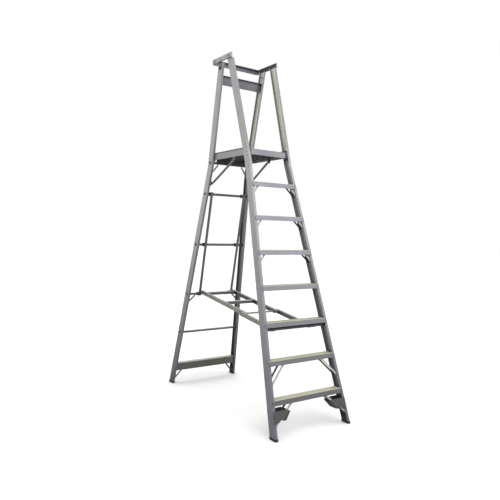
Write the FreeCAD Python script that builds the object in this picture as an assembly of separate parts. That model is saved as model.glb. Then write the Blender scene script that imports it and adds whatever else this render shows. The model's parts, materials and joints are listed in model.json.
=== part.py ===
import FreeCAD, Part
import math
import os

# Folding platform ladder: climbing frame, rear frame, hinged platform, folding spreader, guard rail.
# Millimetres. +X width, +Y from the climbing side to the rear, +Z up, origin at the footprint centre.

V = FreeCAD.Vector

# Driving dimensions: the two leaning frames
FRONT_Y0 = -950.4          # front face of the climbing stiles at the ground
FRONT_LEAN = 0.3158        # horizontal travel per unit height
FRONT_DEPTH = 75.0         # horizontal depth of the stile section
FRONT_FLANGE = 26.0
FRONT_FOOT_HALF = 421.0    # half width at the ground
FRONT_KINK_HALF = 242.1    # half width at the kink
FRONT_TOP_HALF = 262.3     # half width at the guard rail
REAR_Y0 = 872.4
REAR_LEAN = 0.1923
REAR_DEPTH = 78.0
REAR_FLANGE = 22.0
REAR_FOOT_HALF = 405.5
REAR_KINK_HALF = 238.4
REAR_TOP_HALF = 256.0
KINK_Z = 2300.0
WALL = 3.5
SOLE = 20.0                # rubber under each stile
SOLE_RIM = 2.0
PLUG_TOP = 64.0
GAP = 0.2

# Driving dimensions: steps, platform and guard rail
STEP_COUNT = 7
LIP = 40.0
LIP_WALL = 3.5
RIB_COUNT = 7
RIB_W = 4.0
RIB_H = 1.6
DECK_Z = 2415.0
RISE = DECK_Z / (STEP_COUNT + 1)
DECK_FRONT_Y = -190.0
DECK_REAR_Y = 425.0
DECK_UNDER_Z = 2365.0
SIDE_OUT = 216.0
SIDE_TOP_Z = 2434.0
RAIL_TOP_Z = 3317.0
RAIL_H = 43.0
RAIL_FRONT_Y = 84.0
RAIL_REAR_Y = 412.0
RAIL_W = 15.0

# Driving dimensions: pivots, as (y, z)
REAR_PIVOT = (292.0, 3220.0)
DECK_PIVOT = (-158.0, 2392.0)
STAY_LOW = (448.0, 2137.0)
STAY_HIGH = (80.0, 2351.0)
SPREAD_FRONT = (-590.0, 832.0)
SPREAD_REAR = (646.0, 1012.0)
SPREAD_MID = (-125.9, 899.6)
PIVOT_BAR = (-647.0, 845.5)
PIN_R = 5.0
BOLT_R = 6.0
RUN_CLEAR = 0.05

# Driving dimensions: spreader rails
RAIL_SECTION_R = 19.0
FRONT_RAIL_X = (199.0, 223.0)
REAR_RAIL_X = (172.0, 196.0)
RAIL_WALL = 3.0

RUNG_Z = (2343.0, 2034.0, 1517.0, 990.0, 571.0)
RUNG_R = 12.5
RUNG_BORE = 10.3
RUNG_PROUD = 2.5
TIE_X = 198.0

os.makedirs("parts", exist_ok=True)


def front_y(z):
    return FRONT_Y0 + FRONT_LEAN * z


def rear_y(z):
    return REAR_Y0 - REAR_LEAN * z


def half_at(z, foot_half, kink_half, top_half):
    if z >= KINK_Z:
        return kink_half + (top_half - kink_half) * (z - KINK_Z) / (RAIL_TOP_Z - KINK_Z)
    return foot_half + (kink_half - foot_half) * z / KINK_Z


def front_half(z):
    return half_at(z, FRONT_FOOT_HALF, FRONT_KINK_HALF, FRONT_TOP_HALF)


def rear_half(z):
    return half_at(z, REAR_FOOT_HALF, REAR_KINK_HALF, REAR_TOP_HALF)


def save(shape, node):
    shape.exportStep("parts/" + node + ".step")


def fuse(shapes):
    if len(shapes) == 1:
        return shapes[0]
    return shapes[0].multiFuse(shapes[1:]).removeSplitter()


def group(shapes):
    return Part.makeCompound(shapes)


def mirrored(shape):
    return shape.mirror(V(0, 0, 0), V(1, 0, 0))


def save_pair(shape, node):
    save(shape, node + "_right")
    save(mirrored(shape), node + "_left")


def save_both(shape, node):
    save(group([shape, mirrored(shape)]), node)


def prism(points, vector):
    corners = [V(*p) for p in points]
    wire = Part.makePolygon(corners + [corners[0]])
    return Part.Face(wire).extrude(V(*vector))


def slab_x(profile, x0, x1):
    return prism([(x0, y, z) for y, z in profile], (x1 - x0, 0, 0))


def rod_x(centre, radius, x0, x1):
    return Part.makeCylinder(radius, x1 - x0, V(x0, centre[0], centre[1]), V(1, 0, 0))


def link_x(p, q, radius, x0, x1):
    length = math.hypot(q[0] - p[0], q[1] - p[1])
    ny = -(q[1] - p[1]) / length * radius
    nz = (q[0] - p[0]) / length * radius
    corners = [(p[0] + ny, p[1] + nz), (q[0] + ny, q[1] + nz)]
    corners += [(q[0] - ny, q[1] - nz), (p[0] - ny, p[1] - nz)]
    return fuse([slab_x(corners, x0, x1), rod_x(p, radius, x0, x1), rod_x(q, radius, x0, x1)])


def leaning_plate(outline, face_y, offset, thickness):
    points = [(x, face_y(z) + offset, z) for x, z in outline]
    return prism(points, (0, thickness, 0))


def strap(p, q, width, face_y, offset, thickness):
    length = math.hypot(q[0] - p[0], q[1] - p[1])
    ux = (q[0] - p[0]) / length
    uz = (q[1] - p[1]) / length
    h = width / 2
    c = width / 4
    local = [(0, c), (c, h), (length - c, h), (length, c)]
    local += [(length, -c), (length - c, -h), (c, -h), (0, -c)]
    outline = [(p[0] + ux * s - uz * t, p[1] + uz * s + ux * t) for s, t in local]
    return leaning_plate(outline, face_y, offset, thickness)


def button(pos, direction, radius, height):
    return Part.makeCone(radius, radius * 0.62, height, V(*pos), V(*direction))


def section(x_out, y_face, depth, flange, z):
    xi = x_out - flange
    xw = x_out - WALL
    yb = y_face + depth
    outline = [(x_out, y_face), (x_out, yb), (xi, yb), (xi, yb - WALL), (xw, yb - WALL)]
    outline += [(xw, y_face + WALL), (xi, y_face + WALL), (xi, y_face)]
    return [(x, y, z) for x, y in outline]


def stile(half, face_y, depth, flange, z_top):
    low = prism(section(half(SOLE), face_y(SOLE), depth, flange, SOLE),
                (half(KINK_Z) - half(SOLE), face_y(KINK_Z) - face_y(SOLE), KINK_Z - SOLE))
    high = prism(section(half(KINK_Z), face_y(KINK_Z), depth, flange, KINK_Z),
                 (half(z_top) - half(KINK_Z), face_y(z_top) - face_y(KINK_Z), z_top - KINK_Z))
    return fuse([low, high])


def foot(half, face_y, depth, flange):
    rim = SOLE_RIM
    x0 = half(0) - flange - rim
    x1 = half(0) + rim
    y0 = face_y(0) - rim
    y1 = face_y(0) + depth + rim
    shift = (half(SOLE) - half(0), face_y(SOLE) - face_y(0), SOLE)
    sole = prism([(x0, y0, 0), (x1, y0, 0), (x1, y1, 0), (x0, y1, 0)], shift)
    px0 = half(SOLE) - flange + 1
    px1 = half(SOLE) - WALL - GAP
    py0 = face_y(SOLE) + WALL + GAP
    py1 = face_y(SOLE) + depth - WALL - GAP
    rise = PLUG_TOP - SOLE
    lift = (half(PLUG_TOP) - half(SOLE), face_y(PLUG_TOP) - face_y(SOLE), rise)
    plug = prism([(px0, py0, SOLE), (px1, py0, SOLE), (px1, py1, SOLE), (px0, py1, SOLE)], lift)
    return fuse([sole, plug])


# Climbing-frame stiles
FRONT_TOP_Z = RAIL_TOP_Z - RAIL_H - GAP
front_stile = stile(front_half, front_y, FRONT_DEPTH, FRONT_FLANGE, FRONT_TOP_Z)
save_pair(front_stile, "front_stile")
save_both(foot(front_half, front_y, FRONT_DEPTH, FRONT_FLANGE), "front_feet")

# Treads: leaning lip in front of the stile flanges, ribbed top between the stiles
TREAD_WALL = 3.5
TREAD_BACK = 72.0
LIP_INSET = 4.0
step_tops = [RISE * (k + 1) for k in range(STEP_COUNT)]
rivets = []
for number, top in enumerate(step_tops, start=1):
    low = top - LIP
    lip_half = front_half(top) - LIP_INSET
    body_half = front_half(top) - FRONT_FLANGE - GAP
    y_top = front_y(top)
    y_low = front_y(low)
    lip_profile = [(y_top - LIP_WALL, top), (y_top, top), (y_low, low), (y_low - LIP_WALL, low)]
    lip = slab_x(lip_profile, -lip_half, lip_half)
    back = y_top + TREAD_BACK
    outline = [(y_top - LIP_WALL, top)]
    pitch = TREAD_BACK / RIB_COUNT
    for rib in range(RIB_COUNT):
        start = y_top - LIP_WALL + pitch * (rib + 0.5)
        outline += [(start, top), (start, top + RIB_H), (start + RIB_W, top + RIB_H), (start + RIB_W, top)]
    outline += [(back, top), (back, low + 8), (back - 14, low + 8), (back - 14, low + 8 + TREAD_WALL)]
    outline += [(back - TREAD_WALL, low + 8 + TREAD_WALL), (back - TREAD_WALL, top - TREAD_WALL)]
    outline += [(y_top - LIP_WALL, top - TREAD_WALL)]
    body = slab_x(outline, -body_half, body_half)
    inner_low = [(y_low - LIP_WALL, low), (y_low + 4.5, low), (y_low + 4.5, low + TREAD_WALL)]
    inner_low += [(y_low - LIP_WALL, low + TREAD_WALL)]
    low_flange = slab_x(inner_low, -body_half, body_half)
    tread = fuse([lip, body, low_flange])
    save(tread, "tread_%d" % number)
    for side in (-1, 1):
        for drop in (LIP * 0.27, LIP * 0.75):
            z = top - drop
            x = side * (front_half(z) - 13)
            rivets.append(button((x, front_y(z) - LIP_WALL, z), (0, -1, FRONT_LEAN), 5.0, 2.4))

# Knee braces under five of the treads: a front and a rear strap at each end
STRAP_W = 17.0
STRAP_T = 3.0
STRAP_FRONT = 6.0
STRAP_REAR = 62.0


def brace_set(p, q):
    straps = []
    for offset in (STRAP_FRONT, STRAP_REAR):
        piece = strap(p, q, STRAP_W, front_y, offset, STRAP_T).cut(front_stile)
        straps += [piece, mirrored(piece)]
    return straps


BRACE_DROP = 78.0
BRACE_REACH = 70.0
upper_straps = []
for number in (5, 6, 7):
    top = step_tops[number - 1]
    end_z = top - 112.0
    end_x = front_half(end_z) - 10.0
    start = (end_x - BRACE_REACH - 15, end_z + BRACE_DROP + 18)
    upper_straps += brace_set(start, (end_x, end_z))
save(group(upper_straps), "upper_tread_braces")
save(group(brace_set((208.0, 574.0), (372.0, 412.0))), "tread_2_braces")
save(group(brace_set((170.0, 280.0), (398.0, 100.0))), "tread_1_braces")

# Box gussets below the lowest tread: two plates, an inclined wall and a dark edging
GUSSET_T = 3.0
gusset_outline = [(403, 222), (262, 222), (235, 213), (290, 152), (325, 152), (392, 125), (409, 125)]
front_plate = leaning_plate(gusset_outline, front_y, -GUSSET_T, GUSSET_T)
rear_plate = leaning_plate(gusset_outline, front_y, FRONT_DEPTH, GUSSET_T)
wall_outline = [(243.5, 207), (247.5, 207), (298, 154), (298, 152.5), (290.8, 152.5)]
inner_wall = leaning_plate(wall_outline, front_y, GAP, FRONT_DEPTH - 2 * GAP)
gusset = [front_plate, rear_plate, inner_wall]
save(group(gusset + [mirrored(piece) for piece in gusset]), "gussets")
edge_outline = [(226, 206), (281, 143), (308, 143), (308, 151.8), (290.2, 151.8), (234.4, 213.2)]
save_both(leaning_plate(edge_outline, front_y, -GUSSET_T, FRONT_DEPTH + 2 * GUSSET_T), "gusset_edges")
for z in (213.0, 159.0):
    for side in (-1, 1):
        x = side * (front_half(z) - 13)
        rivets.append(button((x, front_y(z) - GUSSET_T, z), (0, -1, FRONT_LEAN), 5.0, 2.4))
        rivets.append(button((x, front_y(z) + FRONT_DEPTH + GUSSET_T, z), (0, 1, -FRONT_LEAN), 5.0, 2.4))

# Rivets on the front flanges and the outer webs of the climbing stiles
for z in (415.0, 244.0, 83.0):
    for side in (-1, 1):
        x = side * (front_half(z) - 13)
        rivets.append(button((x, front_y(z), z), (0, -1, FRONT_LEAN), 5.0, 2.4))
for z, depth in ((2430.0, 18.0), (2385.0, 18.0), (2351.0, 18.0), (2254.0, 18.0), (458.0, 37.0)):
    head = rod_x((front_y(z) + depth, z), 5.5, front_half(z) - 2, front_half(z) + 2.4).cut(front_stile)
    rivets += [head, mirrored(head)]
save(group(rivets), "rivets")

# Pivot bar under tread 3 with a studded lug beside each spreader rail
BAR_R = 13.5
LUG_X = (224.0, 229.0)
LUG_R = 17.0
bar_half = front_half(PIVOT_BAR[1]) - WALL - 1.5
save(rod_x(PIVOT_BAR, BAR_R, -bar_half, bar_half), "pivot_bar")
lug = link_x(PIVOT_BAR, SPREAD_FRONT, LUG_R, LUG_X[0], LUG_X[1])
lug = lug.cut(rod_x(PIVOT_BAR, BAR_R + RUN_CLEAR, LUG_X[0] - 1, LUG_X[1] + 1))
lug = fuse([lug, rod_x(SPREAD_FRONT, PIN_R, FRONT_RAIL_X[1] - 12, LUG_X[1])])
save_both(lug, "spreader_lugs")

# Folding spreader: open channel rails with rounded ends


def channel_rail(p, q, x_web, x_open):
    x0 = min(x_web, x_open)
    x1 = max(x_web, x_open)
    inward = 1 if x_open > x_web else -1
    cut_a = x_web + inward * RAIL_WALL
    cut_b = x_open + inward
    body = link_x(p, q, RAIL_SECTION_R, x0, x1)
    hollow = link_x(p, q, RAIL_SECTION_R - RAIL_WALL, min(cut_a, cut_b), max(cut_a, cut_b))
    bores = [rod_x(c, PIN_R + RUN_CLEAR, x0 - 1, x1 + 1) for c in (p, q)]
    return body.cut(hollow).cut(fuse(bores))


save_pair(channel_rail(SPREAD_FRONT, SPREAD_MID, FRONT_RAIL_X[1], FRONT_RAIL_X[0]), "spreader_front")
save_pair(channel_rail(SPREAD_REAR, SPREAD_MID, REAR_RAIL_X[1], REAR_RAIL_X[0]), "spreader_rear")
MID_REACH = FRONT_RAIL_X[0] - 0.5
SLEEVE_R = 8.0
SLEEVE_REACH = REAR_RAIL_X[0] - 0.5
save(fuse([rod_x(SPREAD_MID, PIN_R, -MID_REACH, MID_REACH),
           rod_x(SPREAD_MID, SLEEVE_R, -SLEEVE_REACH, SLEEVE_REACH)]), "spreader_mid_rod")
slope = (SPREAD_REAR[1] - SPREAD_MID[1]) / (SPREAD_REAR[0] - SPREAD_MID[0])
CROSS_BAR_Y = (230.0, 590.0)
CROSS_HALF_W = 13.0
CROSS_HALF_T = 14.0
CROSS_WALL = 2.5


def cross_tube(y_mid, half_w, half_t):
    z_mid = SPREAD_MID[1] + slope * (y_mid - SPREAD_MID[0])
    corners = [(-half_w, -half_t), (half_w, -half_t), (half_w, half_t), (-half_w, half_t)]
    profile = [(y_mid + y, z_mid + z + slope * y) for y, z in corners]
    reach = REAR_RAIL_X[1] - RAIL_WALL
    return slab_x(profile, -reach, reach)


cross_bars = []
for y_mid in CROSS_BAR_Y:
    hollow = cross_tube(y_mid, CROSS_HALF_W - CROSS_WALL, CROSS_HALF_T - CROSS_WALL)
    cross_bars.append(cross_tube(y_mid, CROSS_HALF_W, CROSS_HALF_T).cut(hollow))
save(group(cross_bars), "spreader_cross_bars")

# Rear-frame stiles, with rung holes and the main pivot bore in their webs
REAR_STILE_TOP = 3269.0
rear_plain = stile(rear_half, rear_y, REAR_DEPTH, REAR_FLANGE, REAR_STILE_TOP)
holes = []
for z in RUNG_Z:
    centre = (rear_y(z) + REAR_DEPTH / 2, z)
    holes.append(rod_x(centre, RUNG_R + RUN_CLEAR, rear_half(z) - 12, rear_half(z) + 12))
PIVOT_HALF = rear_half(REAR_PIVOT[1])
holes.append(rod_x(REAR_PIVOT, BOLT_R + RUN_CLEAR, PIVOT_HALF - 8, PIVOT_HALF + 8))
rear_stile = rear_plain.cut(fuse(holes))
save_pair(rear_stile, "rear_stile")
save_both(foot(rear_half, rear_y, REAR_DEPTH, REAR_FLANGE), "rear_feet")

# Rungs: tubes through both webs
for number, z in enumerate(RUNG_Z):
    centre = (rear_y(z) + REAR_DEPTH / 2, z)
    reach = rear_half(z) + RUNG_PROUD
    tube = rod_x(centre, RUNG_R, -reach, reach)
    save(tube.cut(rod_x(centre, RUNG_BORE, -reach, reach)), "rear_rung_%d" % (number + 1))


# Two channels across the rear frame
def cross_channel(z_low, z_high, web_near_front, depth, node):
    near = 8.0
    y_low = rear_y(z_low) + near
    y_high = rear_y(z_high) + near
    t = WALL
    if web_near_front:
        outline = [(y_low, z_low), (y_low + depth, z_low), (y_low + depth, z_low + t), (y_low + t, z_low + t)]
        outline += [(y_high + t, z_high - t), (y_high + depth, z_high - t), (y_high + depth, z_high)]
        outline += [(y_high, z_high)]
    else:
        outline = [(y_low, z_low), (y_low + depth, z_low), (y_high + depth, z_high), (y_high, z_high)]
        outline += [(y_high, z_high - t), (y_high + depth - t, z_high - t)]
        outline += [(y_low + depth - t, z_low + t), (y_low, z_low + t)]
    reach = min(rear_half(z_low), rear_half(z_high)) - WALL - GAP
    save(slab_x(outline, -reach, reach), node)


cross_channel(140.0, 222.0, True, 64.0, "rear_bottom_channel")
cross_channel(3076.0, 3155.0, False, 34.0, "rear_top_channel")

# Rear-frame knee braces
REAR_BRACE_OFF = 37.5


def rear_braces(p, q, node):
    piece = strap(p, q, STRAP_W, rear_y, REAR_BRACE_OFF, STRAP_T).cut(rear_stile)
    save(group([piece, mirrored(piece)]), node)


rear_braces((143.0, 2327.0), (226.0, 2224.0), "rung_1_braces")
rear_braces((232.0, 974.0), (325.0, 886.0), "rung_4_braces")
rear_braces((291.0, 131.0), (366.0, 50.0), "bottom_channel_braces")

# Tie rods in front of the rungs, joined to them by clamp collars
TIE_W = 25.0
TIE_T = 8.0
TIE_LOW_Z = 996.0
TIE_HIGH_Z = 2046.0
tie = leaning_plate([(TIE_X - TIE_W / 2, TIE_LOW_Z), (TIE_X + TIE_W / 2, TIE_LOW_Z),
                     (TIE_X + TIE_W / 2, TIE_HIGH_Z), (TIE_X - TIE_W / 2, TIE_HIGH_Z)], rear_y, -2, TIE_T)
save_pair(tie, "tie_rod")
COLLAR_R = 19.0
collars = []
for z in RUNG_Z[1:4]:
    centre = (rear_y(z) + REAR_DEPTH / 2, z)
    x0 = TIE_X - TIE_W / 2 - 3
    x1 = TIE_X + TIE_W / 2 + 3
    front = rear_y(z) - 2
    arm = slab_x([(front, z - 17), (centre[0], z - 17), (centre[0], z + 17), (front, z + 17)], x0, x1)
    collar = fuse([arm, rod_x(centre, COLLAR_R, x0, x1)])
    collars.append(collar.cut(rod_x(centre, RUNG_R, x0 - 1, x1 + 1)).cut(tie))
save(group(collars + [mirrored(piece) for piece in collars]), "tie_collars")

# Spreader rear brackets: an ear with a stud on the lower end of each tie rod
ear_face = rear_y(SPREAD_REAR[1]) - 2
ear_x = (REAR_RAIL_X[1] + 1.5, REAR_RAIL_X[1] + 6.0)
ear = [(SPREAD_REAR[0] - 12, SPREAD_REAR[1] - 12), (SPREAD_REAR[0] - 12, SPREAD_REAR[1] + 12)]
ear += [(rear_y(SPREAD_REAR[1] + 12) - 2 - GAP, SPREAD_REAR[1] + 12)]
ear += [(rear_y(SPREAD_REAR[1] - 12) - 2 - GAP, SPREAD_REAR[1] - 12)]
stud = rod_x(SPREAD_REAR, PIN_R, REAR_RAIL_X[1] - 10, ear_x[1])
save_both(fuse([slab_x(ear, ear_x[0], ear_x[1]), stud]), "spreader_ears")

# Platform stays: tubes with a flat eye at each end, and their lower brackets
STAY_R = 11.0
EYE_R = 10.0
EYE_T = 6.0
STAY_LOW_X = 216.0
STAY_HIGH_X = 196.0
HIGH_EAR_X = (209.4, 212.0)
low_point = V(STAY_LOW_X, STAY_LOW[0], STAY_LOW[1])
high_point = V(STAY_HIGH_X, STAY_HIGH[0], STAY_HIGH[1])
axis = high_point.sub(low_point)
unit = V(axis).normalize()
TUBE_INSET = 24.0
TONGUE_R = 8.0
tube = Part.makeCylinder(STAY_R, axis.Length - 2 * TUBE_INSET, low_point + unit * TUBE_INSET, axis)
eyes = []
for pivot, x, reach in ((STAY_LOW, STAY_LOW_X, TUBE_INSET + 6), (STAY_HIGH, STAY_HIGH_X, -TUBE_INSET - 6)):
    inner = (pivot[0] + unit.y * reach, pivot[1] + unit.z * reach)
    eyes.append(rod_x(pivot, EYE_R, x - EYE_T / 2, x + EYE_T / 2))
    eyes.append(link_x(pivot, inner, TONGUE_R, x - EYE_T / 2, x + EYE_T / 2))
bores = [rod_x(STAY_LOW, PIN_R + RUN_CLEAR, STAY_LOW_X - 12, STAY_LOW_X + 12)]
stay = fuse([tube] + eyes).cut(group(bores))
high_stud = rod_x(STAY_HIGH, PIN_R, STAY_HIGH_X - EYE_T / 2 - 2, HIGH_EAR_X[0] - 0.5)
save_pair(fuse([stay, high_stud]), "platform_stay")
LOW_EAR_X = (STAY_LOW_X + EYE_T / 2 + 1, STAY_LOW_X + EYE_T / 2 + 6)
low_ear = [(STAY_LOW[0] - 10, STAY_LOW[1] - 11), (STAY_LOW[0] - 10, STAY_LOW[1] + 11)]
low_ear += [(rear_y(STAY_LOW[1] + 14), STAY_LOW[1] + 14), (rear_y(STAY_LOW[1] - 14), STAY_LOW[1] - 14)]
low_stud = rod_x(STAY_LOW, PIN_R, STAY_LOW_X - EYE_T / 2 - 1, LOW_EAR_X[1])
base_z = (STAY_LOW[1] - 22, STAY_LOW[1] + 22)
base_x = (LOW_EAR_X[0], rear_half(STAY_LOW[1]) - 3)
base_outline = [(base_x[0], base_z[0]), (base_x[1], base_z[0])]
base_outline += [(base_x[1], base_z[1]), (base_x[0], base_z[1])]
low_base = leaning_plate(base_outline, rear_y, -WALL, WALL)
save_both(fuse([slab_x(low_ear, LOW_EAR_X[0], LOW_EAR_X[1]), low_base, low_stud]), "stay_brackets")

# Platform: deck of planks across the width between two side channels
DECK_T = 3.0
deck_half = SIDE_OUT - 4 - GAP
outline = [(DECK_FRONT_Y + 4, DECK_Z)]
DECK_RIBS = 24
deck_pitch = (DECK_REAR_Y - DECK_FRONT_Y - 12) / DECK_RIBS
for rib in range(DECK_RIBS):
    start = DECK_FRONT_Y + 10 + deck_pitch * rib
    outline += [(start, DECK_Z), (start, DECK_Z + RIB_H)]
    outline += [(start + RIB_W, DECK_Z + RIB_H), (start + RIB_W, DECK_Z)]
outline += [(DECK_REAR_Y, DECK_Z), (DECK_REAR_Y, DECK_Z - DECK_T), (DECK_FRONT_Y + 4, DECK_Z - DECK_T)]
deck_parts = [slab_x(outline, -deck_half, deck_half)]
STIFF_HALF = 186.0
LIP_LEFT = 202.0
LIP_RIGHT = 190.0
REAR_LIP_HALF = 188.0
STIFF_DROP = 34.0
STIFF_COUNT = 9
stiff_pitch = (DECK_REAR_Y - DECK_FRONT_Y - 40) / (STIFF_COUNT - 1)
for number in range(STIFF_COUNT):
    y = DECK_FRONT_Y + 22 + stiff_pitch * number
    top = DECK_Z - DECK_T
    stiff = [(y, top), (y + 3, top), (y + 3, top - STIFF_DROP + 3), (y + 16, top - STIFF_DROP + 3)]
    stiff += [(y + 16, top - STIFF_DROP), (y, top - STIFF_DROP)]
    deck_parts.append(slab_x(stiff, -STIFF_HALF, STIFF_HALF))
front_lip = [(DECK_FRONT_Y, DECK_Z + 1), (DECK_FRONT_Y + 4, DECK_Z + 1), (DECK_FRONT_Y + 4, DECK_UNDER_Z + 3)]
front_lip += [(DECK_FRONT_Y + 20, DECK_UNDER_Z + 3), (DECK_FRONT_Y + 20, DECK_UNDER_Z)]
front_lip += [(DECK_FRONT_Y, DECK_UNDER_Z)]
deck_parts.append(slab_x(front_lip, -LIP_LEFT, LIP_RIGHT))
REAR_LIP_Z = 2331.0
rear_lip = [(DECK_REAR_Y - 4, DECK_Z - 1), (DECK_REAR_Y, DECK_Z - 1), (DECK_REAR_Y, REAR_LIP_Z)]
rear_lip += [(DECK_REAR_Y - 4, REAR_LIP_Z)]
deck_parts.append(slab_x(rear_lip, -REAR_LIP_HALF, REAR_LIP_HALF))
save(fuse(deck_parts), "platform_deck")
SIDE_IN = 190.0
y0 = DECK_FRONT_Y + 5
y1 = DECK_REAR_Y
web_profile = [(y0, DECK_UNDER_Z), (y1, DECK_UNDER_Z), (y1, SIDE_TOP_Z), (y0, SIDE_TOP_Z)]
web = slab_x(web_profile, SIDE_OUT - 4, SIDE_OUT)
top_flange = slab_x([(y0, SIDE_TOP_Z - 4), (y1, SIDE_TOP_Z - 4), (y1, SIDE_TOP_Z), (y0, SIDE_TOP_Z)],
                    SIDE_OUT - 16, SIDE_OUT)
side = fuse([web, top_flange])
save_pair(side.cut(rod_x(DECK_PIVOT, BOLT_R + RUN_CLEAR, SIDE_IN, SIDE_OUT + 5)), "platform_side")
cap_profile = [(DECK_FRONT_Y - 1, DECK_UNDER_Z), (DECK_FRONT_Y + 4, DECK_UNDER_Z)]
cap_profile += [(DECK_FRONT_Y + 4, DECK_Z + 1), (DECK_FRONT_Y - 1, DECK_Z + 1)]
caps = [slab_x(cap_profile, LIP_RIGHT + GAP, SIDE_OUT), slab_x(cap_profile, -SIDE_OUT, -LIP_LEFT - GAP)]
save(group(caps), "platform_caps")
HOOK_X = (196.0, 212.0)
rung_top = RUNG_Z[0] + RUNG_R + 0.5
rung_back = rear_y(RUNG_Z[0]) + REAR_DEPTH / 2 + RUNG_R
hook = [(390, DECK_UNDER_Z + 4 + GAP), (390, 2408), (446, 2408), (rung_back + 11, 2376)]
hook += [(rung_back + 11, 2337), (rung_back + 4, 2337), (rung_back + 4, rung_top)]
hook += [(DECK_REAR_Y + 3, rung_top)]
hook += [(DECK_REAR_Y + 3, DECK_UNDER_Z + 4 + GAP)]
save_both(slab_x(hook, HOOK_X[0], HOOK_X[1]), "platform_hooks")
high_ear = [(STAY_HIGH[0] - 12, STAY_HIGH[1] - 10), (STAY_HIGH[0] + 12, STAY_HIGH[1] - 10)]
high_ear += [(STAY_HIGH[0] + 18, DECK_UNDER_Z), (STAY_HIGH[0] + 18, DECK_UNDER_Z + 24)]
high_ear += [(STAY_HIGH[0] - 18, DECK_UNDER_Z + 24), (STAY_HIGH[0] - 18, DECK_UNDER_Z)]
save_both(slab_x(high_ear, HIGH_EAR_X[0], HIGH_EAR_X[1]), "stay_ears")

# Platform hinge brackets inside the climbing stiles, each with its pin
bracket = prism([(221.0, front_y(2352.0) + 6, 2352.0), (242.2, front_y(2352.0) + 6, 2352.0),
                 (242.2, front_y(2352.0) + 69, 2352.0), (221.0, front_y(2352.0) + 69, 2352.0)],
                (0, front_y(2432.0) - front_y(2352.0), 80.0))
bracket = fuse([bracket.cut(front_stile), rod_x(DECK_PIVOT, BOLT_R, 204.0, 230.0)])
save_both(bracket, "platform_hinges")

# Guard rail outside the stiles: a box section each side and an angle section round the back
RAIL_INNER = 257.3
RAIL_OUTER = RAIL_INNER + RAIL_W
RAIL_LOW_Z = RAIL_TOP_Z - RAIL_H
RAIL_T = 3.0
CORNER_R = 14.0
REAR_LIP_W = 34.0
SEAM_LOW_Y = 330.0
SEAM_HIGH_Y = 342.0
SEAM_GAP = 0.6


def rounded_block(inset, z0, z1):
    x = RAIL_OUTER - inset
    y_end = RAIL_REAR_Y - inset
    block = Part.makeBox(2 * x, y_end - RAIL_FRONT_Y, z1 - z0, V(-x, RAIL_FRONT_Y, z0))
    upright = [e for e in block.Edges if abs(e.BoundBox.ZLength - (z1 - z0)) < 0.01
               and abs(e.BoundBox.YMax - y_end) < 0.01]
    return block.makeFillet(CORNER_R - inset, upright)


outer = rounded_block(0.0, RAIL_LOW_Z, RAIL_TOP_Z)
inner = rounded_block(WALL, RAIL_LOW_Z, RAIL_TOP_Z - WALL)
well_depth = RAIL_REAR_Y - REAR_LIP_W - RAIL_FRONT_Y
well_z = RAIL_LOW_Z - RAIL_H / 2
well = Part.makeBox(2 * RAIL_INNER, well_depth, 2 * RAIL_H, V(-RAIL_INNER, RAIL_FRONT_Y, well_z))
angle_rail = outer.cut(inner).cut(well)
seam_back = [(SEAM_LOW_Y + SEAM_GAP, RAIL_LOW_Z - 1), (RAIL_REAR_Y + 9, RAIL_LOW_Z - 1)]
seam_back += [(RAIL_REAR_Y + 9, RAIL_TOP_Z + 1), (SEAM_HIGH_Y + SEAM_GAP, RAIL_TOP_Z + 1)]
save(angle_rail.common(slab_x(seam_back, -RAIL_OUTER - 9, RAIL_OUTER + 9)), "guard_rail_rear")
box_profile = [(RAIL_FRONT_Y, RAIL_LOW_Z), (SEAM_LOW_Y, RAIL_LOW_Z), (SEAM_HIGH_Y, RAIL_TOP_Z)]
box_profile += [(RAIL_FRONT_Y, RAIL_TOP_Z)]
box_rail = slab_x(box_profile, RAIL_INNER, RAIL_OUTER)
hollow = Part.makeBox(RAIL_W - 2 * RAIL_T, RAIL_REAR_Y - RAIL_FRONT_Y, RAIL_H - 2 * RAIL_T,
                      V(RAIL_INNER + RAIL_T, RAIL_FRONT_Y - 1, RAIL_LOW_Z + RAIL_T))
save_pair(box_rail.cut(hollow), "guard_rail")
rail_cap = Part.makeBox(RAIL_W, 3.0, RAIL_H, V(RAIL_INNER, RAIL_FRONT_Y - 3.1, RAIL_LOW_Z))
save_both(rail_cap, "guard_rail_caps")

# Bolts through the rails, and the links under them that carry the rear frame's pivots
rail_bolts = [rod_x(c, 6.5, RAIL_OUTER, RAIL_OUTER + 3.0) for c in ((126, 3297), (272, 3297))]
rail_bolts += [mirrored(b) for b in rail_bolts]
save(group(rail_bolts), "rail_bolts")
LINK_X = (RAIL_INNER + 0.3, RAIL_INNER + 4.3)
LINK_R = 19.0
link = fuse([rod_x(REAR_PIVOT, LINK_R, LINK_X[0], LINK_X[1]),
             slab_x([(REAR_PIVOT[0] - LINK_R, REAR_PIVOT[1]), (REAR_PIVOT[0] + LINK_R, REAR_PIVOT[1]),
                     (REAR_PIVOT[0] + LINK_R, FRONT_TOP_Z), (REAR_PIVOT[0] - LINK_R, FRONT_TOP_Z)],
                    LINK_X[0], LINK_X[1])])
save_both(link.cut(rod_x(REAR_PIVOT, BOLT_R + RUN_CLEAR, LINK_X[0] - 1, LINK_X[1] + 1)), "hinge_links")
bolt = fuse([rod_x(REAR_PIVOT, 10.0, LINK_X[1], LINK_X[1] + 4),
             rod_x(REAR_PIVOT, BOLT_R, PIVOT_HALF - 12, LINK_X[1] + 4),
             rod_x(REAR_PIVOT, 10.0, PIVOT_HALF - 12, PIVOT_HALF - WALL - 0.6)])
save_both(bolt, "hinge_bolts")
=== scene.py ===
import json
import math

import bmesh
import bpy
from mathutils import Matrix, Vector


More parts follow.
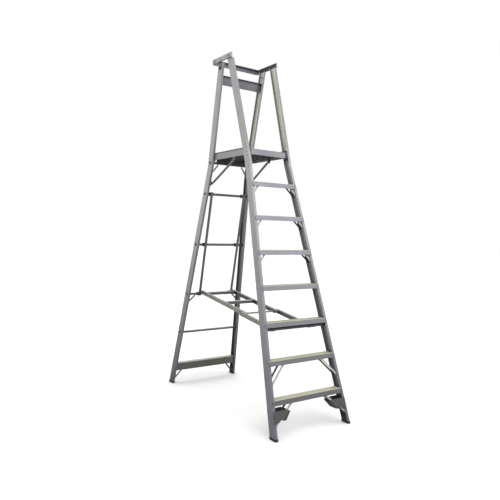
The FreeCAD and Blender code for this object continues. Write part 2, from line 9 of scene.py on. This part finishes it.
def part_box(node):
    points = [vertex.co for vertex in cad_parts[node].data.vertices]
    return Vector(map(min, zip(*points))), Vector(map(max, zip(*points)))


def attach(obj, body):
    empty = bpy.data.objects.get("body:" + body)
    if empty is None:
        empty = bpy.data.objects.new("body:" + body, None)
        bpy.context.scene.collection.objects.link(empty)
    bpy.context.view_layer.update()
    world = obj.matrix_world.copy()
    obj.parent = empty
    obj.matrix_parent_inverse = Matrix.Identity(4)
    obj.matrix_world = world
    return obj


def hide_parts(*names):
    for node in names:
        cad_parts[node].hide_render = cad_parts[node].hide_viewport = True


# Looks of a folding aluminium platform ladder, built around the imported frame. Metres.

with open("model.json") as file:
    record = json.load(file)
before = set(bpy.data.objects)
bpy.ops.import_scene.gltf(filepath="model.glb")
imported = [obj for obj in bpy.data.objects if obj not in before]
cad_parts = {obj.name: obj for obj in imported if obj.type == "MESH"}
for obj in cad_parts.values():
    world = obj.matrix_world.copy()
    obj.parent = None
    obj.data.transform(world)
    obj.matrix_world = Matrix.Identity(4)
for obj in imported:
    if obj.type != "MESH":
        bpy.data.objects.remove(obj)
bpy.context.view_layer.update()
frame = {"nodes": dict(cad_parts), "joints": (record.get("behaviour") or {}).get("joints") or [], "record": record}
nodes = frame["nodes"]
pivots = {joint["name"]: Vector(joint["pos_m"]) for joint in frame["joints"]}


# ---------------------------------------------------------------- materials

def socket(node, name):
    return node.inputs[name]


CLIMBING_FOOT_Y = -0.9504    # front face of the climbing stiles at the ground
CLIMBING_LEAN = 0.3158       # and how far it leans back per unit height
UNDER_PLATFORM = 2.2         # heights between which a finish goes from its lower to its upper value
OVER_PLATFORM = 2.6
COLOR_A, COLOR_B = 6, 7      # the mix node's colour sockets
COLOR_RESULT = 2
BUMP_STRENGTH = 0.5


class Surface:
    """A principled material whose nodes are added one call at a time."""

    def __init__(self, name):
        self.material = bpy.data.materials.new(name)
        self.material.use_nodes = True
        self.tree = self.material.node_tree
        self.shader = self.tree.nodes["Principled BSDF"]
        coordinates = self.add("ShaderNodeTexCoord")
        self.coords = coordinates.outputs["Object"]
        self.facing = coordinates.outputs["Normal"]

    def add(self, kind, **settings):
        node = self.tree.nodes.new(kind)
        for key, value in settings.items():
            setattr(node, key, value)
        return node

    def link(self, source, target):
        self.tree.links.new(source, target)

    def noise(self, stretch, detail=4.0, rough=0.55):
        mapping = self.add("ShaderNodeMapping")
        socket(mapping, "Scale").default_value = stretch
        self.link(self.coords, socket(mapping, "Vector"))
        texture = self.add("ShaderNodeTexNoise")
        socket(texture, "Scale").default_value = 1.0
        socket(texture, "Detail").default_value = detail
        socket(texture, "Roughness").default_value = rough
        self.link(mapping.outputs["Vector"], socket(texture, "Vector"))
        return texture.outputs["Fac"]

    def ramp(self, source, low, high, out_low=0.0, out_high=1.0):
        node = self.add("ShaderNodeMapRange")
        socket(node, "From Min").default_value = low
        socket(node, "From Max").default_value = high
        socket(node, "To Min").default_value = out_low
        socket(node, "To Max").default_value = out_high
        self.link(source, socket(node, "Value"))
        return node.outputs["Result"]

    def height(self, low, high, out_low=0.0, out_high=1.0):
        return self.ramp(self.split(self.coords)["Z"], low, high, out_low, out_high)

    def split(self, output):
        node = self.add("ShaderNodeSeparateXYZ")
        self.link(output, node.inputs[0])
        return node.outputs

    def normal(self, axis):
        return self.split(self.facing)[axis]

    def behind_climbing_face(self):
        """Distance in metres behind the plane of the climbing stiles' front faces."""
        place = self.split(self.coords)
        lean = self.math("MULTIPLY", place["Z"], -CLIMBING_LEAN)
        return self.math("ADD", self.math("ADD", place["Y"], lean), -CLIMBING_FOOT_Y)

    def inward(self):
        """1 on faces that look towards the ladder's middle plane, 0 elsewhere."""
        side = self.add("ShaderNodeMath", operation="SIGN")
        self.link(self.split(self.coords)["X"], side.inputs[0])
        outward = self.math("MULTIPLY", side.outputs[0], self.normal("X"))
        return self.ramp(outward, -0.85, -0.3, 1.0, 0.0)

    def forward(self):
        """1 on faces that look towards the climbing side, 0 elsewhere."""
        return self.ramp(self.normal("Y"), -0.9, -0.5, 1.0, 0.0)

    def by_level(self, pair):
        """The first value below the platform and the second above it."""
        return self.height(UNDER_PLATFORM, OVER_PLATFORM, pair[0], pair[1])

    def math(self, operation, a, b):
        node = self.add("ShaderNodeMath", operation=operation)
        self.link(a, node.inputs[0])
        if isinstance(b, float):
            node.inputs[1].default_value = b
        else:
            self.link(b, node.inputs[1])
        return node.outputs[0]

    def mix(self, factor, a, b):
        node = self.add("ShaderNodeMix", data_type="RGBA")
        self.link(factor, node.inputs["Factor"])
        for value, target in ((a, node.inputs[COLOR_A]), (b, node.inputs[COLOR_B])):
            if isinstance(value, tuple):
                target.default_value = (*value, 1.0)
            else:
                self.link(value, target)
        return node.outputs[COLOR_RESULT]

    def crevice(self, distance):
        node = self.add("ShaderNodeAmbientOcclusion", samples=6)
        socket(node, "Distance").default_value = distance
        return node.outputs["AO"]

    def finish(self, color, roughness, metallic, bump=None, bump_height=0.0002, edge=0.0):
        self.link(color, socket(self.shader, "Base Color"))
        self.link(roughness, socket(self.shader, "Roughness"))
        socket(self.shader, "Metallic").default_value = metallic
        normal = None
        if edge:
            bevel = self.add("ShaderNodeBevel", samples=4)
            socket(bevel, "Radius").default_value = edge
            normal = bevel.outputs["Normal"]
        if bump is not None:
            node = self.add("ShaderNodeBump")
            socket(node, "Strength").default_value = BUMP_STRENGTH
            socket(node, "Distance").default_value = bump_height
            self.link(bump, socket(node, "Height"))
            if normal is not None:
                self.link(normal, socket(node, "Normal"))
            normal = node.outputs["Normal"]
        if normal is not None:
            self.link(normal, socket(self.shader, "Normal"))
        return self.material


ALONG = 1.6              # cycles per metre along an extrusion
ACROSS = 190.0           # and across it
EDGE = 0.0009            # rounding of sharp edges
DIE_LINE_DEPTH = 0.00012
CREVICE = 0.035          # reach of the painted shade in inside corners
# near-black of the painted shade and of the band along the platform sides' top edge; slate of the painted shade on
# forward faces
NEAR_BLACK = (0.018, 0.018, 0.019)
SHADE_SLATE = (0.085, 0.09, 0.112)
# colour of the painted light on inward faces above the platform
PAINTED_LIGHT_PALE = (0.64, 0.63, 0.52)
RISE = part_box("tread_2")[1].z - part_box("tread_1")[1].z
TREAD_EDGE = 0.0012      # height of the painted highlight band at each tread's top edge
TREAD_BAND = (0.0035, 0.004)
LIP_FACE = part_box("platform_deck")[0].y
LIP_T = 0.003
SIDE_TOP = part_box("platform_side_left")[1].z
SIDE_RIM = (0.011, 0.009)
DECK_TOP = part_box("platform_deck")[1].z
DECK_SKIN = (0.004, 0.001)
# how far behind the climbing face the painted shade on straps sets in
REAR_STRAP_FROM = (0.03, 0.04)
WORN_AMOUNT = 0.3
LIT_TOP_DULL = 0.8
WORN_DULL = 0.7


def shade(color, factor):
    return tuple(channel * factor for channel in color)


def extruded(name, run, bright, dull, low=None, ground_shade_top=2.4, rough=(0.36, 0.56), metallic=0.45,
             inward=(0.0, 0.0), front=(0.0, 0.0), under_shade=0.0, corner_shade=(0.7, 0.7), lit_top=None,
             deck_shade=False, rear_strap_shade=False, rim=False, rib_highlight=False, inward_painted_light=0.0):
    """Mill-finish extrusion with die lines along its run and cloudy oxide.

    low is the colour of the painted ground shade that it fades to, from ground_shade_top down. Pairs are
    (below, above) the platform: inward and front paint shade on the faces that look that way, corner_shade
    paints shade into inside corners. under_shade paints shade on downward faces, lit_top paints a highlight
    colour on upward ones and inward_painted_light paints light on inward faces above the platform.
    deck_shade and rear_strap_shade paint shade on the deck's body and on straps behind the climbing face,
    rib_highlight paints a highlight band at each tread's top edge.
    """
    s = Surface(name)
    stretch = tuple(ALONG if axis == run else ACROSS for axis in "xyz")
    lines = s.noise(stretch, detail=3.0)
    cloud = s.noise((7.0, 7.0, 5.0), detail=6.0, rough=0.62)
    spots = s.noise((85.0, 85.0, 85.0), detail=2.0)
    tone = s.math("ADD", s.math("MULTIPLY", lines, 0.45), s.math("MULTIPLY", cloud, 0.55))
    tone = s.ramp(tone, 0.33, 0.67)
    color = s.mix(tone, dull, bright)
    # painted highlight: upward faces take a lighter colour
    if lit_top is not None:
        upward = s.ramp(s.normal("Z"), 0.5, 0.8)
        color = s.mix(upward, color, s.mix(tone, shade(lit_top, LIT_TOP_DULL), lit_top))
    worn = s.ramp(spots, 0.63, 0.72, 0.0, WORN_AMOUNT)
    color = s.mix(worn, color, shade(dull, WORN_DULL))
    # painted shade: darker towards the ground, with patchy strength
    if low is not None:
        patchy = s.ramp(cloud, 0.25, 0.75, 0.85, 1.12)
        color = s.mix(s.math("MULTIPLY", s.height(0.05, ground_shade_top, 1.0, 0.0), patchy), color, low)
    # painted shade on inward and on forward faces, stronger below the platform
    for faces, depth, tint in ((s.inward(), inward, NEAR_BLACK), (s.forward(), front, SHADE_SLATE)):
        if max(depth) > 0:
            color = s.mix(s.math("MULTIPLY", faces, s.by_level(depth)), color, tint)
    # painted light: inward faces above the platform made paler
    if inward_painted_light:
        color = s.mix(s.math("MULTIPLY", s.inward(), s.by_level((0.0, inward_painted_light))), color, PAINTED_LIGHT_PALE)
    # painted highlight: a cream band at each tread's top edge
    if rib_highlight:
        above_step = s.math("MODULO", s.math("ADD", s.split(s.coords)["Z"], TREAD_EDGE), RISE)
        color = s.mix(s.ramp(above_step, *TREAD_BAND, 1.0, 0.0), color, lit_top)
    # painted shade on downward faces
    if under_shade:
        color = s.mix(s.ramp(s.normal("Z"), -0.9, -0.35, under_shade, 0.0), color, NEAR_BLACK)
    # painted shade on the deck behind its front lip and below its top skin
    if deck_shade:
        behind_lip = s.ramp(s.split(s.coords)["Y"], LIP_FACE, LIP_FACE + LIP_T)
        below_top = s.height(DECK_TOP - DECK_SKIN[0], DECK_TOP - DECK_SKIN[1], 0.9, 0.0)
        color = s.mix(s.math("MULTIPLY", behind_lip, below_top), color, NEAR_BLACK)
    if rim:
        color = s.mix(s.height(SIDE_TOP - SIDE_RIM[0], SIDE_TOP - SIDE_RIM[1], 0.0, 0.88), color, NEAR_BLACK)
    # painted shade on strap parts behind the climbing face
    if rear_strap_shade:
        color = s.mix(s.ramp(s.behind_climbing_face(), *REAR_STRAP_FROM, 0.0, 0.85), color, NEAR_BLACK)
    # painted shade in inside corners, set by level
    shut = s.math("MULTIPLY", s.math("SUBTRACT", s.ramp(s.crevice(CREVICE), 0.25, 0.9), 1.0), -1.0)
    color = s.mix(s.math("MULTIPLY", shut, s.by_level(corner_shade)), color, NEAR_BLACK)
    scratch = s.ramp(s.noise((ACROSS * 1.7, 9.0, ACROSS * 1.3), detail=1.0), 0.6, 0.66, 0.0, 0.14)
    roughness = s.math("ADD", s.ramp(tone, 0.0, 1.0, rough[1], rough[0]), scratch)
    return s.finish(color, roughness, metallic, lines, DIE_LINE_DEPTH, EDGE)


# Bright and dull tones of each finish, then the painted ground shade tones and the painted highlight tones on
# upward faces
WARM = (0.345, 0.343, 0.333)
WARM_DULL = (0.265, 0.264, 0.262)
COOL = (0.232, 0.232, 0.254)
COOL_DULL = (0.172, 0.173, 0.196)
DARK = (0.085, 0.088, 0.09)
DARK_DULL = (0.05, 0.052, 0.053)
INK = (0.04, 0.042, 0.06)
INK_DULL = (0.028, 0.029, 0.042)
BRONZE = (0.085, 0.082, 0.07)
BRONZE_DULL = (0.06, 0.058, 0.05)
OLIVE = (0.19, 0.19, 0.175)
OLIVE_DULL = (0.13, 0.13, 0.12)
SIDE_GREY = (0.27, 0.27, 0.262)
SIDE_GREY_DULL = (0.215, 0.215, 0.212)
DECK_GREY = (0.268, 0.268, 0.29)
DECK_GREY_DULL = (0.2, 0.2, 0.222)
SAND = (0.36, 0.345, 0.325)
SAND_DULL = (0.28, 0.265, 0.25)
MOSS = (0.11, 0.114, 0.108)
MOSS_DULL = (0.08, 0.083, 0.078)
STEEL_GREY = (0.17, 0.175, 0.175)
STEEL_GREY_DULL = (0.1, 0.104, 0.105)
UMBER = (0.062, 0.058, 0.055)
UMBER_DULL = (0.045, 0.042, 0.04)
# colours of the painted ground shade
GROUND_SHADE_COOL = (0.092, 0.097, 0.118)
GROUND_SHADE_OLIVE = (0.045, 0.05, 0.04)
GROUND_SHADE_TREAD = (0.06, 0.06, 0.06)
GROUND_SHADE_RAIL = (0.2, 0.2, 0.19)
# colours of the painted highlight on upward faces
TREAD_LIT_CREAM = (0.42, 0.41, 0.31)
RUNG_LIT_TOP = (0.19, 0.186, 0.17)
BOTTOM_LIT_TOP = (0.27, 0.26, 0.22)
RAIL_LIT_TOP = (0.34, 0.34, 0.31)
SPREADER_LIT_TOP = (0.25, 0.25, 0.225)

STILE = extruded("stile_aluminium", "z", WARM, WARM_DULL, GROUND_SHADE_COOL, front=(0.0, 0.55), under_shade=0.6,
                 corner_shade=(0.15, 0.0), inward_painted_light=0.8)
REAR_STILE = extruded("rear_stile_aluminium", "z", WARM, WARM_DULL, GROUND_SHADE_OLIVE, 2.0, inward=(0.45, 0.0),
                      front=(0.85, 0.5), under_shade=0.6, corner_shade=(0.6, 0.0), inward_painted_light=0.6)
TREAD = extruded("tread_aluminium", "x", COOL, COOL_DULL, GROUND_SHADE_TREAD, 1.5, rough=(0.42, 0.6), under_shade=0.8,
                 lit_top=TREAD_LIT_CREAM, corner_shade=(0.55, 0.55), rib_highlight=True)
ACROSS_BAR = extruded("cross_aluminium", "x", COOL, COOL_DULL, under_shade=0.8, front=(0.4, 0.25),
                      corner_shade=(0.5, 0.3))
PIVOT = extruded("pivot_bar_aluminium", "x", INK, INK_DULL, under_shade=0.6)
SPREADER_BAR = extruded("spreader_bar_aluminium", "x", DARK, DARK_DULL, under_shade=0.8, lit_top=WARM)
# the rungs' dark tone is painted shade
RUNG = extruded("rung_aluminium", "x", DARK, DARK_DULL, under_shade=0.5, lit_top=RUNG_LIT_TOP)
BOTTOM_BAR = extruded("bottom_aluminium", "x", BRONZE, BRONZE_DULL, under_shade=0.7, lit_top=BOTTOM_LIT_TOP)
ALONG_BAR = extruded("rail_aluminium", "y", WARM, WARM_DULL, GROUND_SHADE_RAIL, inward=(0.6, 1.0), under_shade=0.85,
                     lit_top=RAIL_LIT_TOP)
SPREADER_RAIL = extruded("spreader_aluminium", "y", OLIVE, OLIVE_DULL, under_shade=0.7, corner_shade=(0.3, 0.3),
                         lit_top=SPREADER_LIT_TOP)
SIDE = extruded("side_aluminium", "y", SIDE_GREY, SIDE_GREY_DULL, under_shade=0.75, rim=True)
DECK = extruded("deck_aluminium", "x", DECK_GREY, DECK_GREY_DULL, rough=(0.5, 0.66), under_shade=0.96,
                deck_shade=True)
STRAP = extruded("strap_aluminium", "z", COOL, COOL_DULL, under_shade=0.5)
TREAD_STRAP = extruded("tread_strap_aluminium", "z", SAND, SAND_DULL, under_shade=0.5, rear_strap_shade=True)
# the rear braces' dark tone is painted shade
REAR_STRAP = extruded("rear_strap_aluminium", "z", MOSS, MOSS_DULL, under_shade=0.5)
STAY = extruded("stay_aluminium", "y", STEEL_GREY, STEEL_GREY_DULL, under_shade=0.8)
TIE = extruded("tie_aluminium", "z", DARK, DARK_DULL, GROUND_SHADE_OLIVE, 1.8)
# the gussets' dark tone is painted shade
GUSSET = extruded("gusset_aluminium", "x", UMBER, UMBER_DULL, under_shade=0.6)


RUBBER_BLACK = (0.006, 0.006, 0.007)
RUBBER_DUST = (0.03, 0.029, 0.027)
PLASTIC_NAVY = (0.018, 0.02, 0.045)
PLASTIC_FADED = (0.04, 0.045, 0.085)
ZINC_DARK = (0.09, 0.09, 0.1)
ZINC_LIGHT = (0.24, 0.24, 0.25)
ZINC_CORNER_SHADE = (0.03, 0.028, 0.026)


def rubber():
    s = Surface("foot_rubber")
    grain = s.noise((520.0, 520.0, 520.0), detail=3.0)
    dust = s.noise((38.0, 38.0, 60.0), detail=5.0)
    color = s.mix(s.ramp(dust, 0.5, 0.72, 0.0, 0.4), RUBBER_BLACK, RUBBER_DUST)
    roughness = s.ramp(grain, 0.3, 0.7, 0.72, 0.92)
    return s.finish(color, roughness, 0.0, grain, bump_height=0.0004, edge=0.0015)


def plastic():
    s = Surface("bracket_plastic")
    grain = s.noise((700.0, 700.0, 700.0), detail=2.0)
    patch = s.noise((22.0, 22.0, 22.0), detail=4.0)
    color = s.mix(s.ramp(patch, 0.35, 0.7), PLASTIC_NAVY, PLASTIC_FADED)
    roughness = s.ramp(grain, 0.3, 0.7, 0.42, 0.6)
    return s.finish(color, roughness, 0.0, grain, bump_height=0.0002, edge=0.0012)


def plated():
    s = Surface("plated_steel")
    grain = s.noise((260.0, 260.0, 260.0), detail=4.0)
    patch = s.noise((55.0, 55.0, 55.0), detail=5.0)
    color = s.mix(s.ramp(patch, 0.35, 0.68), ZINC_DARK, ZINC_LIGHT)
    # painted shade in inside corners
    corner_shade = s.ramp(s.crevice(0.012), 0.2, 0.85, 0.75, 0.0)
    color = s.mix(corner_shade, color, ZINC_CORNER_SHADE)
    roughness = s.ramp(grain, 0.3, 0.7, 0.32, 0.5)
    return s.finish(color, roughness, 0.85, grain, bump_height=0.0001, edge=0.0006)


RUBBER = rubber()
PLASTIC = plastic()
STEEL = plated()

BY_SLOT = {"rubber": RUBBER, "dark_plastic": PLASTIC, "steel": STEEL}
TREAD_STRAPS = ("upper_tread_braces", "tread_1_braces", "tread_2_braces")
REAR_STRAPS = ("rung_4_braces", "bottom_channel_braces")
BY_PREFIX = (        # the first match counts
    ("front_stile", STILE), ("rear_stile", REAR_STILE), ("tread_", TREAD), ("rear_rung", RUNG),
    ("platform_deck", DECK), ("platform_side", SIDE), ("platform_stay", STAY),
    ("guard_rail_rear", ACROSS_BAR), ("guard_rail", ALONG_BAR), ("spreader_front", SPREADER_RAIL),
    ("spreader_rear", SPREADER_RAIL), ("tie_", TIE), ("rear_top", ACROSS_BAR),
    ("rear_bottom", BOTTOM_BAR), ("pivot_bar", PIVOT), ("spreader_cross", SPREADER_BAR),
    ("gussets", GUSSET),
)
slot_of = {row["node"]: row["material_slot"] for row in frame["record"]["subparts"]}


def look_of(node):
    slot_name = slot_of[node]
    if slot_name in BY_SLOT:
        return BY_SLOT[slot_name]
    if node in TREAD_STRAPS:
        return TREAD_STRAP
    if node in REAR_STRAPS:
        return REAR_STRAP
    for prefix, material in BY_PREFIX:
        if node.startswith(prefix):
            return material
    return STRAP


for node, obj in nodes.items():
    obj.data.materials.clear()
    obj.data.materials.append(look_of(node))


# ---------------------------------------------------------------- detail pieces

def finish_piece(bm, name, body, material, smooth=True):
    bmesh.ops.recalc_face_normals(bm, faces=bm.faces)
    mesh = bpy.data.meshes.new(name)
    bm.to_mesh(mesh)
    bm.free()
    mesh.materials.append(material)
    for polygon in mesh.polygons:
        polygon.use_smooth = smooth
    obj = bpy.data.objects.new(name, mesh)
    bpy.context.scene.collection.objects.link(obj)
    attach(obj, body)
    return obj


def turned(bm, profile, centre, axis, segments=20):
    """A closed solid turned about an axis, from a profile of (radius, distance along the axis)."""
    axis = axis.normalized()
    side = axis.orthogonal().normalized()
    other = axis.cross(side)
    rings = []
    for radius, along in profile:
        if radius == 0:
            rings.append([bm.verts.new(centre + axis * along)])
            continue
        ring = []
        for k in range(segments):
            angle = 2 * math.pi * k / segments
            spoke = side * math.cos(angle) + other * math.sin(angle)
            ring.append(bm.verts.new(centre + axis * along + spoke * radius))
        rings.append(ring)
    for a, b in zip(rings, rings[1:]):
        for k in range(segments):
            n = (k + 1) % segments
            corners = [a[k % len(a)], a[n % len(a)], b[n % len(b)], b[k % len(b)]]
            bm.faces.new(list(dict.fromkeys(corners)))


def dome(radius, height, steps=5):
    """Profile of a closed dome for turned()."""
    angles = [k * math.pi / 2 / steps for k in range(steps)]
    return [(0, 0)] + [(radius * math.cos(a), height * math.sin(a)) for a in angles] + [(0, height)]


WELD = 1e-6


def islands(obj):
    """The points of each separate solid in a CAD node, and the direction most of its area faces."""
    bm = bmesh.new()
    bm.from_mesh(obj.data)
    bmesh.ops.remove_doubles(bm, verts=bm.verts, dist=WELD)
    seen = set()
    groups = []
    for start in bm.verts:
        if start in seen:
            continue
        stack = [start]
        members = []
        seen.add(start)
        while stack:
            vert = stack.pop()
            members.append(vert)
            for edge in vert.link_edges:
                other = edge.other_vert(vert)
                if other not in seen:
                    seen.add(other)
                    stack.append(other)
        faces = set(face for vert in members for face in vert.link_faces)
        largest = {}
        for face in faces:
            key = tuple(round(c, 1) for c in face.normal)
            largest[key] = largest.get(key, 0.0) + face.calc_area()
        facing = Vector(max(largest, key=largest.get)).normalized()
        groups.append(([vert.co.copy() for vert in members], facing))
    bm.free()
    return groups


# Domed rivet heads over the plain CAD ones
RIVET_R = 0.0056
RIVET_H = 0.0030
ALONG_X = 0.9            # a rivet that faces along X is in a stile's outer web
bm = bmesh.new()
for points, facing in islands(nodes["rivets"]):
    middle = sum(points, Vector()) / len(points)
    if abs(facing.x) > ALONG_X:
        outward = Vector((math.copysign(1.0, middle.x), 0.0, 0.0))
    else:
        outward = -facing
    base = min((p - middle).dot(outward) for p in points)
    turned(bm, dome(RIVET_R, RIVET_H), middle + outward * base, outward)
rivet_heads = finish_piece(bm, "rivet_heads", "front_frame", STEEL)
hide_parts("rivets")

# Swaged beads where each rung comes through the stile webs
BEAD_R = 0.0022
BEAD_STEPS = 6
BEAD_SEAT = 0.0005       # how far the bead reaches into the tube's end
BEAD_SINK = 0.0004
BEAD_LIFT = 0.0001
BEAD_WELD = 1e-7
RUNG_COUNT = 5
FINE_SEGMENTS = 28
for k in range(1, RUNG_COUNT + 1):
    low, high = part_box("rear_rung_%d" % k)
    radius = (high.z - low.z) / 2
    bm = bmesh.new()
    for x in (low.x, high.x):
        sign = math.copysign(1.0, x)
        centre = Vector((x, (low.y + high.y) / 2, (low.z + high.z) / 2))
        ring = [(radius - BEAD_R, -BEAD_SEAT)]
        for step in range(BEAD_STEPS + 1):
            angle = step * math.pi / BEAD_STEPS
            ring.append((radius + BEAD_R * math.sin(angle), BEAD_LIFT - BEAD_R * math.cos(angle)))
        ring.append((radius - BEAD_R, -BEAD_SEAT))
        seat = centre - Vector((sign * BEAD_SINK, 0, 0))
        turned(bm, ring, seat, Vector((sign, 0, 0)), FINE_SEGMENTS)
    bmesh.ops.remove_doubles(bm, verts=bm.verts, dist=BEAD_WELD)
    finish_piece(bm, "rung_beads_%d" % k, "rear_frame", ACROSS_BAR)

# Hexagon heads with washers on the main hinge bolts and the rail joint bolts
HEX_H = 0.0045
HEX_SIDES = 6
HEX_SEAT = 0.0011        # the head starts just inside its washer
HEX_SHOULDER = HEX_H * 0.8
HEX_CHAMFER = 0.92
WASHER_T = 0.0012
HINGE_HEX_R, HINGE_WASHER_R = 0.0085, 0.0098
RAIL_HEX_R, RAIL_WASHER_R = 0.0052, 0.0063
RAIL_HEX_SINK = 0.0005


def hex_head(bm, centre, outward, radius, washer):
    disc = [(0, 0), (washer, 0), (washer, WASHER_T), (0, WASHER_T)]
    turned(bm, disc, centre, outward, FINE_SEGMENTS)
    head = [(0, HEX_SEAT), (radius, HEX_SEAT), (radius, HEX_SHOULDER), (radius * HEX_CHAMFER, HEX_H)]
    turned(bm, head + [(0, HEX_H)], centre, outward, HEX_SIDES)


bm = bmesh.new()
low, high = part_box("hinge_bolts")
hinge = pivots["rear_fold"]
for sign, x in ((-1, low.x), (1, high.x)):
    hex_head(bm, Vector((x, hinge.y, hinge.z)), Vector((sign, 0, 0)), HINGE_HEX_R, HINGE_WASHER_R)
finish_piece(bm, "hinge_bolt_heads", "front_frame", STEEL, smooth=False)
bm = bmesh.new()
for points, _facing in islands(nodes["rail_bolts"]):
    middle = sum(points, Vector()) / len(points)
    outward = Vector((math.copysign(1.0, middle.x), 0, 0))
    face = max((p - middle).dot(outward) for p in points)
    hex_head(bm, middle + outward * (face - RAIL_HEX_SINK), outward, RAIL_HEX_R, RAIL_WASHER_R)
finish_piece(bm, "rail_bolt_heads", "front_frame", STEEL, smooth=False)

# Peened heads on the spreader and stay pins
PEEN_R = 0.0085
PEEN_H = 0.0026


def pin_heads(name, body, joint, node):
    """A domed head on each side of the ladder, on the outer face of a node at a joint's axis."""
    reach = abs(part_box(node)[1].x)
    pivot = pivots[joint]
    bm = bmesh.new()
    for sign in (-1, 1):
        turned(bm, dome(PEEN_R, PEEN_H), Vector((sign * reach, pivot.y, pivot.z)), Vector((sign, 0, 0)))
    finish_piece(bm, name, body, STEEL)


pin_heads("spreader_front_pin_heads", "front_frame", "spreader_front_fold", "spreader_lugs")
pin_heads("spreader_rear_pin_heads", "rear_frame", "spreader_rear_fold", "spreader_ears")
pin_heads("stay_pin_heads", "rear_frame", "stay_fold", "stay_brackets")

# Moulded ribs within each rubber sole
RIB_TALL = 0.0022
RIB_LEVELS = (0.0045, 0.0095)
RIB_INSET = 0.0006
GROUND_BAND = 0.001


def foot_ribs(name, body, node):
    bm = bmesh.new()
    for points, _facing in islands(nodes[node]):
        sole = [p for p in points if p.z < GROUND_BAND]
        x0, x1 = min(p.x for p in sole), max(p.x for p in sole)
        y0, y1 = min(p.y for p in sole), max(p.y for p in sole)
        for z in RIB_LEVELS:
            box = bmesh.ops.create_cube(bm, size=1.0)["verts"]
            scale = Vector((x1 - x0 - RIB_INSET, y1 - y0 - RIB_INSET, RIB_TALL))
            for vert in box:
                vert.co = Vector(((x0 + x1) / 2, (y0 + y1) / 2, z)) + vert.co * scale
    finish_piece(bm, name, body, RUBBER, smooth=False)


foot_ribs("front_foot_ribs", "front_frame", "front_feet")
foot_ribs("rear_foot_ribs", "rear_frame", "rear_feet")


# ---------------------------------------------------------------- stage, light and camera

FLOOR_REACH = 40.0
FLOOR_DROP = 0.0005
FLOOR_TONES = ((0.50, 0.50, 0.50), (0.53, 0.53, 0.53))


def stage_floor():
    bm = bmesh.new()
    bmesh.ops.create_grid(bm, x_segments=1, y_segments=1, size=FLOOR_REACH)
    mesh = bpy.data.meshes.new("floor")
    bm.to_mesh(mesh)
    bm.free()
    floor = bpy.data.objects.new("floor", mesh)
    floor.location.z = -FLOOR_DROP
    bpy.context.scene.collection.objects.link(floor)
    s = Surface("floor_paper")
    tone = s.noise((0.6, 0.6, 0.6), detail=2.0)
    color = s.mix(tone, *FLOOR_TONES)
    mesh.materials.append(s.finish(color, s.ramp(tone, 0.0, 1.0, 0.85, 0.9), 0.0))


def area_light(name, place, target, size, power, color):
    light = bpy.data.lights.new(name, "AREA")
    light.shape = "SQUARE"
    light.size = size
    light.energy = power
    light.color = color
    obj = bpy.data.objects.new(name, light)
    obj.location = place
    obj.rotation_euler = (Vector(target) - Vector(place)).to_track_quat("-Z", "Y").to_euler()
    bpy.context.scene.collection.objects.link(obj)


stage_floor()
HORIZON_LIGHT = 1.0
OVERHEAD_LIGHT = 3.0
OVERHEAD_START = math.sin(math.radians(30))
OVERHEAD_FULL = math.sin(math.radians(55))
world = bpy.data.worlds.new("studio")
bpy.context.scene.world = world
world.use_nodes = True
sky = world.node_tree
direction = sky.nodes.new("ShaderNodeTexCoord")
parts = sky.nodes.new("ShaderNodeSeparateXYZ")
brightness = sky.nodes.new("ShaderNodeMapRange")
for name, value in (("From Min", OVERHEAD_START), ("From Max", OVERHEAD_FULL),
                    ("To Min", HORIZON_LIGHT), ("To Max", OVERHEAD_LIGHT)):
    brightness.inputs[name].default_value = value
sky.links.new(direction.outputs["Generated"], parts.inputs[0])
sky.links.new(parts.outputs["Z"], brightness.inputs["Value"])
background = sky.nodes["Background"]
background.inputs["Color"].default_value = (1.0, 1.0, 1.0, 1.0)
sky.links.new(brightness.outputs["Result"], background.inputs["Strength"])
bpy.context.scene.view_settings.view_transform = "Standard"
MIDDLE = (0.0, 0.0, 1.6)
area_light("key", (-0.5, -6.5, 6.0), MIDDLE, size=3.0, power=150.0, color=(1.0, 0.985, 0.96))
area_light("fill", (5.0, -3.0, 3.5), MIDDLE, size=3.5, power=60.0, color=(0.95, 0.97, 1.0))

CAMERA_PLACE = Vector((-2.9707, -4.0921, 1.6785))
CAMERA_YAW = 0.5902          # from +Y towards +X
CAMERA_PITCH = 0.0830        # downwards
CAMERA_ROLL = 0.0276
SENSOR = 36.0
LENS = 37.58
SHIFT = (0.0327, 0.0465)

forward = Vector((math.sin(CAMERA_YAW) * math.cos(CAMERA_PITCH),
                  math.cos(CAMERA_YAW) * math.cos(CAMERA_PITCH), -math.sin(CAMERA_PITCH)))
level = Vector((math.cos(CAMERA_YAW), -math.sin(CAMERA_YAW), 0.0))
upright = level.cross(forward)
right = level * math.cos(CAMERA_ROLL) + upright * math.sin(CAMERA_ROLL)
up = upright * math.cos(CAMERA_ROLL) - level * math.sin(CAMERA_ROLL)
camera_data = bpy.data.cameras.new("camera")
camera_data.sensor_width = SENSOR
camera_data.lens = LENS
camera_data.shift_x = SHIFT[0]
camera_data.shift_y = SHIFT[1]
camera = bpy.data.objects.new("camera", camera_data)
turn = Matrix((right, up, -forward)).transposed().to_4x4()
camera.matrix_world = Matrix.Translation(CAMERA_PLACE) @ turn
bpy.context.scene.collection.objects.link(camera)
bpy.context.scene.camera = camera
